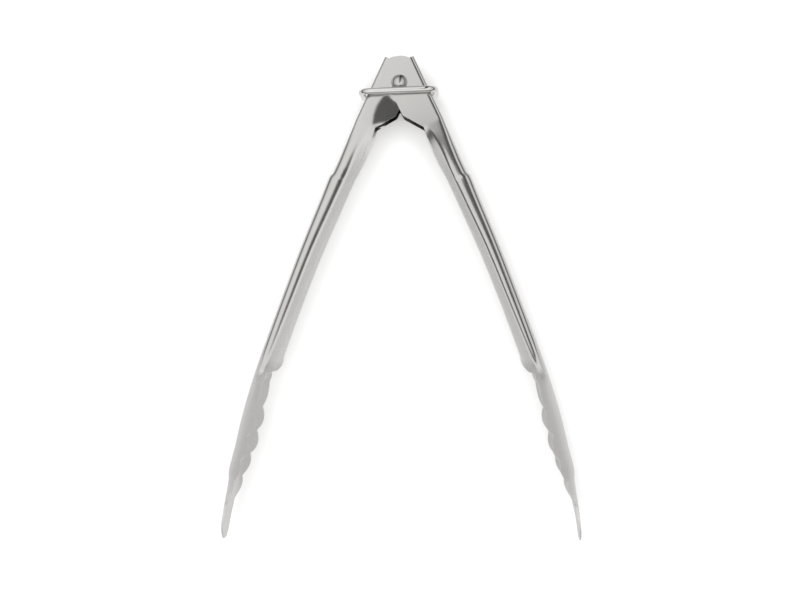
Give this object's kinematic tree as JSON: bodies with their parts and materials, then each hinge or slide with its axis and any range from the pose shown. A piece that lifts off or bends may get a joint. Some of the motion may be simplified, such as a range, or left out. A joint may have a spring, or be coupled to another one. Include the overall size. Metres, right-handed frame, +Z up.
{
  "type": "spring loaded kitchen tongs",
  "caption": "Stamped steel kitchen tongs with two riveted arms, scalloped spoon ends, a torsion spring at the hinge and a sliding wire ring that holds them closed.",
  "frame": {"origin": "middle of the footprint of the open tongs, on the surface that they lie on", "axes": "+Y from the heads towards the hinge, +X to the outer arm, +Z up along the hinge axis"},
  "size_m": [0.2144, 0.2882, 0.0395],
  "materials": {
    "arm_sheet": "polished handle, satin brushed head and lips",
    "rivet": "polished",
    "wire": "polished",
    "spring_wire": "drawn wire"
  },
  "bodies": {
    "pivot": {"hinge_rivet": "rivet", "torsion_spring": "spring_wire"},
    "outer_arm": {"outer_arm": "arm_sheet"},
    "inner_arm": {"inner_arm": "arm_sheet"},
    "lock_ring": {"lock_ring": "wire"}
  },
  "joints": [
    {"name": "outer_arm_close", "type": "hinge", "parent": "pivot", "child": "outer_arm", "pos_m": [0, 0.12808, 0.01975], "axis": [0, 0, -1], "range_deg": [0, 21.2], "stiffness_Nm_per_rad": 1, "springref_deg": -11.46, "deforming": ["torsion_spring"]},
    {"name": "inner_arm_close", "type": "hinge", "parent": "pivot", "child": "inner_arm", "pos_m": [0, 0.12808, 0.01975], "axis": [0, 0, 1], "range_deg": [0, 21.2], "stiffness_Nm_per_rad": 1, "springref_deg": -11.46, "deforming": ["torsion_spring"]},
    {"name": "ring_slide", "type": "slide", "parent": "pivot", "child": "lock_ring", "axis": [0, -1, 0], "range_m": [0, 0.0214]}
  ],
  "couplings": [
    {"joint": "inner_arm_close", "follows": "outer_arm_close", "ratio": 1},
    {"joint": "ring_slide", "follows": "outer_arm_close", "m_per_rad": 0.0573}
  ]
}
